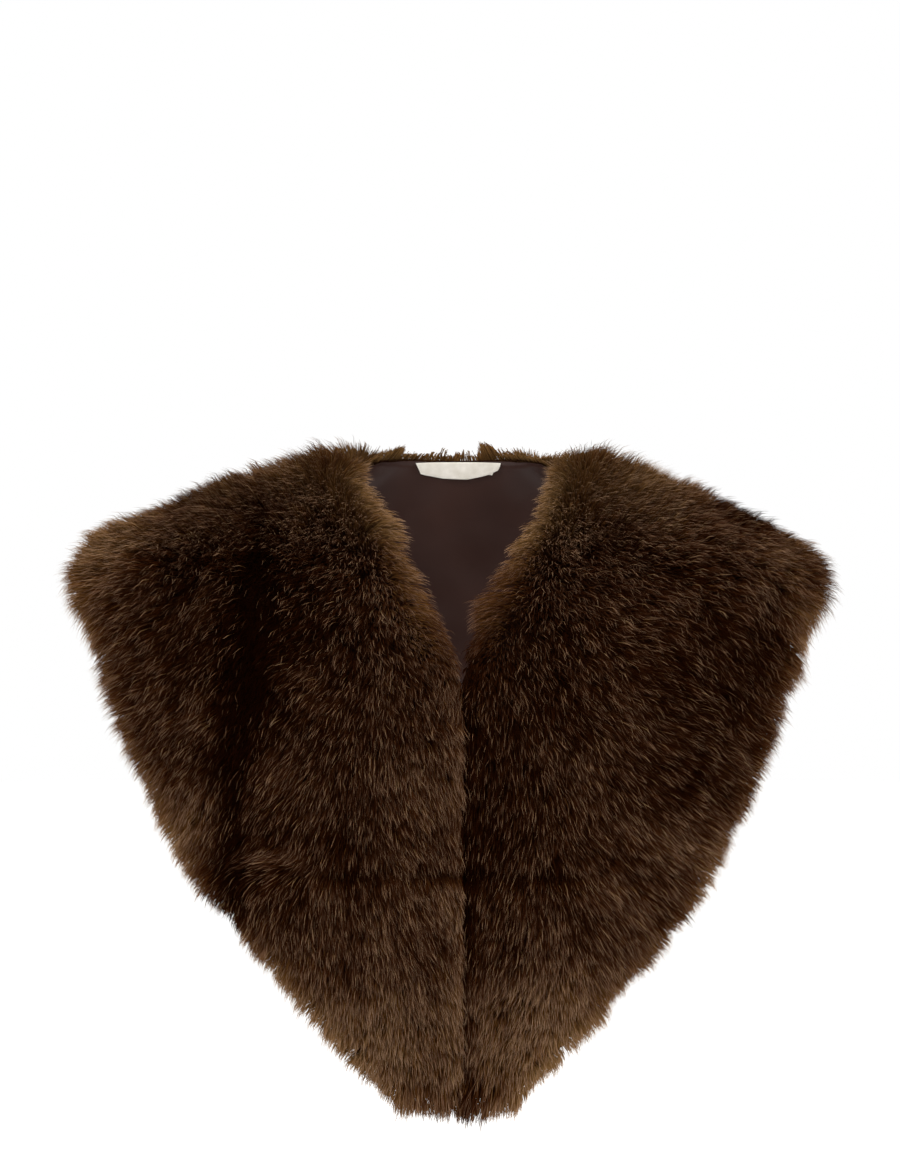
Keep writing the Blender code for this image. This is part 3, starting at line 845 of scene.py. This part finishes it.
# The lining's main creases: where each starts and ends, along and across, its depth and width.
Crease = namedtuple("Crease", "name start end depth width")
CREASES = (
    Crease("back, left", (-0.06, 0.1), (-0.1, 0.62), 0.0012, 0.007),
    Crease("back, right", (0.055, 0.16), (0.12, 0.7), 0.001, 0.008),
    Crease("back, low", (-0.03, 0.72), (0.045, 0.84), 0.0012, 0.006),
    Crease("left shoulder", (-0.27, 0.12), (-0.33, 0.8), 0.0016, 0.008),
    Crease("left shoulder, short", (-0.3, 0.3), (-0.39, 0.66), 0.001, 0.006),
    Crease("right shoulder", (0.28, 0.15), (0.32, 0.78), 0.0015, 0.008),
    Crease("left chest", (-0.5, 0.25), (-0.59, 0.86), 0.0013, 0.007),
    Crease("right chest", (0.52, 0.2), (0.57, 0.8), 0.0014, 0.007),
    Crease("left front, low", (-0.72, 0.22), (-0.78, 0.8), 0.001, 0.006),
    Crease("right front, low", (0.7, 0.3), (0.79, 0.74), 0.0011, 0.006),
)
# How early a crease fades at its ends, and how much, how fast and from where it wavers.
CREASE_END = 0.08
WAVER, WAVER_PACE, WAVER_SHIFT = 0.3, 9, 40


def crease_depth(spots):
    """How deep the lining's creases are: each fades off its line and to its ends, and wavers."""
    total = np.zeros(spots.across.shape)
    for crease in CREASES:
        ends = np.array([crease.start, crease.end])
        shape = cloth(ends[:, 1], ends[:, 0]).points
        way = shape[1] - shape[0]
        part = np.clip((spots.points - shape[0]) @ way / (way @ way), 0, 1)
        gap = length(spots.points - shape[0] - part[..., None] * way)
        swell = np.sin(np.pi * (CREASE_END + (1 - 2 * CREASE_END) * part))
        waver = 1 + WAVER * np.sin(WAVER_PACE * part + crease.start[0] * WAVER_SHIFT)
        total += crease.depth * (swell * waver) * np.exp(-((gap / crease.width) ** 2))
    return total


# How far short of the hem the lining ends, the left front's underlap, how far the face lies in,
# and the depth of the wrinkles, puckers and rolled edge.
LINING_HEM_INSET = 0.012
MEETING_UNDERLAP = 0.003
UNDERLAP_BAND = (0, 0.005)
LINING_IN = 0.0004
WRINKLE, WRINKLES = 0.0006, ((0.0006, 0.035, 31),)
PUCKER, PUCKERS = 0.0004, ((0.0004, 0.012, 37),)
PUCKER_BAND = (0.001, 0.012)
ROLL, ROLL_BAND = 0.001, (0, 0.003)


def lining_piece(material):
    """The satin lining, one strip from tip to tip: soft wrinkles, the main creases, a puckered
    edge, and a narrow underlap of the left front behind the right one."""
    share, along = np.meshgrid(np.linspace(0, 1, 33), np.linspace(-TIP_PLACE, TIP_PLACE, 201))
    width = np.interp(along, WIDTH_PLACES, WIDTHS)
    inset = neck_inset(along)
    first, last = inset / width, 1 - LINING_HEM_INSET / width
    spots = cloth(first + (last - first) * share, along)
    near_edge = np.minimum(spots.neck_gap - inset, spots.hem_gap - LINING_HEM_INSET)
    wrinkle = WRINKLE + patches(spots.points, WRINKLES)
    pucker = (PUCKER + patches(spots.points, PUCKERS)) * fade(near_edge, *PUCKER_BAND)
    roll = ROLL * fade(near_edge, *ROLL_BAND)
    face = -LINING_IN - np.maximum(wrinkle, 0) - pucker - crease_depth(spots)
    under = fronts_meet(along) * (along < 0) * fade(spots.neck_gap, *UNDERLAP_BAND)
    shift = np.zeros(spots.points.shape)
    shift[..., 0] = MEETING_UNDERLAP * under
    shift[..., 1] = MEETING_UNDERLAP * under
    spots = spots._replace(points=spots.points + shift)
    piece = shell("lining_satin", spots, face - LINING_THICK + roll, face, material)
    return piece, measured_area(spots)


LABEL_WIDTH = 0.058
LABEL_ABOVE = 0.0008
LABEL_LEFT_SLANT, LABEL_RIGHT_SLANT = 0.13, 0.03
LABEL_IN, LABEL_THICK = 0.0034, 0.0006
LABEL_BOW, LABEL_WAVE, LABEL_WAVE_PACE = 0.0006, 0.0004, 3.1
# The label's lower edge: how far below its top it lies, from its left end to its right.
LABEL_FOOT = (
    (-1.00, 0.0092), (-0.90, 0.0101), (-0.45, 0.0121), (0.20, 0.0124), (0.55, 0.0106),
    (0.70, 0.0095), (0.76, 0.0098), (0.79, 0.0104), (0.82, 0.0080), (0.94, 0.0064), (1.00, 0.0034),
)


def label_piece(material):
    """The bare label: it hangs from the lining's neck edge and bows off the satin. Its lower edge
    sags from a slanted left end to a rounded right end with the corner of its folded back."""
    aside, down = np.meshgrid(np.linspace(-1, 1, 101), np.linspace(0, 1, 15))
    places, heights = np.array(LABEL_FOOT).T
    height = np.interp(aside, places, heights)
    back_width = np.interp(0, WIDTH_PLACES, WIDTHS)
    across = (BACK_NECK_INSET - LABEL_ABOVE + down * height) / back_width
    slant = np.where(aside < 0, LABEL_LEFT_SLANT, LABEL_RIGHT_SLANT)
    reach = LABEL_WIDTH / 2 * (1 - slant * down)
    _, run = cloth_ways(across, np.zeros(across.shape))
    along = aside * reach / length(run)
    spots = cloth(across, along)
    bow = LABEL_BOW * np.sin(np.pi * down)
    bow = bow + LABEL_WAVE * down * (1 + np.sin(LABEL_WAVE_PACE * aside + 1))
    face = -LABEL_IN - bow
    return shell("label_cloth", spots, face - LABEL_THICK, face, material)


def ramp(tree, source, stops, name):
    """A colour ramp of a socket, with stops of place and colour or grey."""
    node = tree.nodes.new("ShaderNodeValToRGB")
    node.label = name
    elements = node.color_ramp.elements
    while len(elements) < len(stops):
        elements.new(0.5)
    for element, (place, colour) in zip(elements, stops):
        element.position = place
        element.color = (colour,) * 3 + (1,) if np.isscalar(colour) else (*colour, 1)
    tree.links.new(source, node.inputs[0])
    return node.outputs[0]


def mix(tree, kind, share, first, second):
    """A colour mix node. Each input is a socket or a value."""
    node = tree.nodes.new("ShaderNodeMix")
    node.data_type = "RGBA"
    node.blend_type = kind
    for socket, value in zip((node.inputs[0], node.inputs[6], node.inputs[7]), (share, first, second)):
        if isinstance(value, bpy.types.NodeSocket):
            tree.links.new(value, socket)
        else:
            socket.default_value = value
    return node.outputs[2]


def new_material(name, roughness, specular=0.5):
    """A material with its tree and its Principled shader."""
    material = bpy.data.materials.new(name)
    material.use_nodes = True
    shader = material.node_tree.nodes["Principled BSDF"]
    shader.inputs["Roughness"].default_value = roughness
    shader.inputs["Specular IOR Level"].default_value = specular
    return material, material.node_tree, shader


def pattern(tree, kind, scale):
    """A texture of one scale on the piece's own coordinates."""
    place, node = tree.nodes.new("ShaderNodeTexCoord"), tree.nodes.new(kind)
    node.inputs["Scale"].default_value = scale
    tree.links.new(place.outputs["Object"], node.inputs["Vector"])
    return node


def cloudy(tree, shader, scale, dark, light, name):
    """Gives the shader a colour that goes from dark to light with a noise."""
    noise = pattern(tree, "ShaderNodeTexNoise", scale)
    colour = ramp(tree, noise.outputs["Fac"], ((0.3, dark), (0.7, light)), name)
    tree.links.new(colour, shader.inputs["Base Color"])


def bumped(tree, shader, height, strength):
    """Gives the shader a fine relief from a pattern."""
    bump = tree.nodes.new("ShaderNodeBump")
    bump.inputs["Strength"].default_value = strength
    bump.inputs["Distance"].default_value = 0.0002
    tree.links.new(height, bump.inputs["Height"])
    tree.links.new(bump.outputs["Normal"], shader.inputs["Normal"])


def fur_material():
    """Fur coloured by its own map: dark to light across it, first for underfur and then for guard hairs,
    which carries the painted light and shade of each place, and root to tip up it, with painted shade at
    the roots and pale tips on the guard hairs."""
    material, tree, shader = new_material("long brown fur", 0.60, 0.0)
    place = tree.nodes.new("ShaderNodeUVMap")
    place.uv_map = "OFBake"
    parts = tree.nodes.new("ShaderNodeSeparateXYZ")
    tree.links.new(place.outputs["UV"], parts.inputs[0])
    across, up = parts.outputs["X"], parts.outputs["Y"]
    # Dark to light: these tones carry the painted light and shade as well as the fur's own colour.
    body = ramp(tree, across, (
        (0.00, (0.004, 0.0010, 0.0002)), (0.12, (0.014, 0.0036, 0.0008)), (0.25, (0.045, 0.0126, 0.0036)),
        (0.40, (0.142, 0.064, 0.019)), (0.49, (0.200, 0.106, 0.038)), (0.51, (0.006, 0.0014, 0.0003)),
        (0.62, (0.022, 0.0058, 0.0018)), (0.75, (0.072, 0.0264, 0.0104)), (0.90, (0.175, 0.090, 0.035)),
        (1.00, (0.240, 0.138, 0.056)),
    ), "dark to light")
    # Painted shade deep in the pile: each hair is darker at its root.
    root = ramp(tree, up, ((0.0, 0.38), (0.50, 0.80), (1.0, 1.10)), "root to tip")
    pale = ramp(tree, up, ((0.60, 0.0), (0.90, 0.95)), "pale tips")
    guard = ramp(tree, across, ((0.63, 0.0), (0.80, 0.62), (1.0, 1.0)), "guard hairs only")
    colour = mix(tree, "MULTIPLY", 1.0, body, root)
    tip_share = mix(tree, "MULTIPLY", 1.0, pale, guard)
    colour = mix(tree, "MIX", tip_share, colour, (0.366, 0.228, 0.142, 1))
    tree.links.new(colour, shader.inputs["Base Color"])
    return material


def backing_material():
    """Dark knitted backing."""
    material, tree, shader = new_material("fur backing", 0.9, 0.0)
    cloudy(tree, shader, 900, (0.010, 0.0036, 0.0018), (0.024, 0.009, 0.0045), "knit")
    return material


def satin_material():
    """Dark plum-brown satin: a soft sheen and a fine slanted weave."""
    material, tree, shader = new_material("lining satin", 0.48, 0.16)
    cloudy(tree, shader, 24, (0.028, 0.0112, 0.0080), (0.038, 0.0162, 0.0118), "satin")
    weave = pattern(tree, "ShaderNodeTexWave", 700)
    weave.inputs["Distortion"].default_value = 1.5
    weave.bands_direction = "DIAGONAL"
    bumped(tree, shader, weave.outputs["Fac"], 0.25)
    return material


def label_material():
    """Cream woven tape: fine crossing threads."""
    material, tree, shader = new_material("label tape", 0.75)
    threads = pattern(tree, "ShaderNodeTexChecker", 2400)
    cloudy(tree, shader, 160, (0.70, 0.65, 0.56), (0.82, 0.77, 0.69), "tape")
    bumped(tree, shader, threads.outputs["Fac"], 0.35)
    return material


# A stretch of fur: from and to which place, its tufts on a square metre, how many strands of each
# kind a tuft has, and how much wider than the front's they are.
Stretch = namedtuple("Stretch", "name start end tufts under guard wider")
FUR_STRETCHES = (
    Stretch("tip", TIP_PLACE, SEAM_PLACE, 65000, 19, 10, 1.0),
    Stretch("front_lower", SEAM_PLACE, CHEST_PLACE, 65000, 19, 10, 1.0),
    Stretch("front_upper", CHEST_PLACE, SHOULDER_PLACE, 65000, 19, 10, 1.0),
    Stretch("back", SHOULDER_PLACE, 0.0, 38500, 17, 8, 1.35),
)


# The parts of a side's fur: from and to which place, the flat size in metres, and the stretches.
FurPart = namedtuple("FurPart", "name start end flat stretches")
FUR_PARTS = (
    FurPart("tip", TIP_PLACE, SEAM_PLACE, (0.18, 0.17), ("tip",)),
    FurPart("main", SEAM_PLACE, 0.0, (0.26, 0.54), ("front_lower", "front_upper", "back")),
)


def dress_fur():
    """Puts the fur and its backing in place of their solids."""
    fur, backing = fur_material(), backing_material()
    for side, word in ((-1, "left"), (1, "right")):
        hair = {s.name: fur_stretch(s, side, fur) for s in FUR_STRETCHES}
        for part in FUR_PARTS:
            solid = f"fur_{word}_{part.name}"
            cloth_piece, area = backing_piece(
                f"backing_{word}_{part.name}", side, part.start, part.end, backing)
            for name in part.stretches:
                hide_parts(solid)
            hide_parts(solid)


def dress_lining():
    """Puts the satin lining and the bare label in place of their solids."""
    lining, area = lining_piece(satin_material())
    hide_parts("lining")
    label = label_piece(label_material())
    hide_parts("label")


CAMERA_AWAY = 2.6
METRES_PER_PIXEL = 0.00066
FRAME_PIXELS = (900, 1176)
CENTRE_PIXEL = (460, 458)
FLOOR_Z = -0.8
LIGHTS_AIM = (0, 0, -0.2)
# The soft lights: place, size in metres and power in watts.
LIGHTS = (
    ("key", (-0.9, -2.2, 1.6), 1.2, 45),
    ("fill", (1.4, -2.0, 0.4), 1.4, 18),
    ("top", (0.0, 0.2, 2.2), 1.6, 30),
    ("back", (0.7, 2.3, 1.2), 1.5, 24),
)


def set_camera():
    """A long lens level with the middle of the photograph's frame."""
    camera = bpy.data.objects.new("camera", bpy.data.cameras.new("camera"))
    put(camera)
    camera.data.sensor_width = 36
    camera.data.lens = 36 * CAMERA_AWAY / (FRAME_PIXELS[1] * METRES_PER_PIXEL)
    camera.data.clip_end = 50
    x = (FRAME_PIXELS[0] / 2 - CENTRE_PIXEL[0]) * METRES_PER_PIXEL
    z = (CENTRE_PIXEL[1] - FRAME_PIXELS[1] / 2) * METRES_PER_PIXEL
    camera.location = (x, -CAMERA_AWAY, z)
    camera.rotation_euler = (np.radians(90), 0, 0)
    bpy.context.scene.camera = camera


def area_light(name, place, size, power):
    """A square soft light that faces the garment's middle."""
    light = bpy.data.lights.new(name, "AREA")
    light.size = size
    light.energy = power
    lamp = bpy.data.objects.new(name, light)
    lamp.location = place
    way = np.array(place) - np.array(LIGHTS_AIM)
    level = np.hypot(way[0], way[1])
    lamp.rotation_euler = (np.arctan2(level, way[2]), 0, np.arctan2(way[0], -way[1]))
    put(lamp)


def set_studio():
    """A pale floor, a white surround that looks brighter than it lights, and soft lights."""
    bpy.ops.mesh.primitive_circle_add(
        vertices=64, radius=12, fill_type="NGON", location=(0, 0, FLOOR_Z))
    floor = bpy.context.object
    floor.name = "floor"
    paint, _, shader = new_material("pale floor", 0.9)
    shader.inputs["Base Color"].default_value = (0.92, 0.92, 0.91, 1)
    shader.inputs["Emission Color"].default_value = (1, 1, 1, 1)
    shader.inputs["Emission Strength"].default_value = 0.60
    floor.data.materials.append(paint)
    world = bpy.data.worlds.new("studio")
    world.use_nodes = True
    nodes, links = world.node_tree.nodes, world.node_tree.links
    surround = nodes["Background"]
    backdrop = nodes.new("ShaderNodeBackground")
    for node, strength in ((surround, 0.55), (backdrop, 1.0)):
        node.inputs["Color"].default_value = (1, 1, 1, 1)
        node.inputs["Strength"].default_value = strength
    eye = nodes.new("ShaderNodeLightPath")
    both = nodes.new("ShaderNodeMixShader")
    links.new(eye.outputs["Is Camera Ray"], both.inputs[0])
    links.new(surround.outputs[0], both.inputs[1])
    links.new(backdrop.outputs[0], both.inputs[2])
    links.new(both.outputs[0], nodes["World Output"].inputs["Surface"])
    bpy.context.scene.world = world
    for light in LIGHTS:
        area_light(*light)
    bpy.context.scene.view_settings.view_transform = "Standard"


set_camera()
dress_fur()
dress_lining()
set_studio()
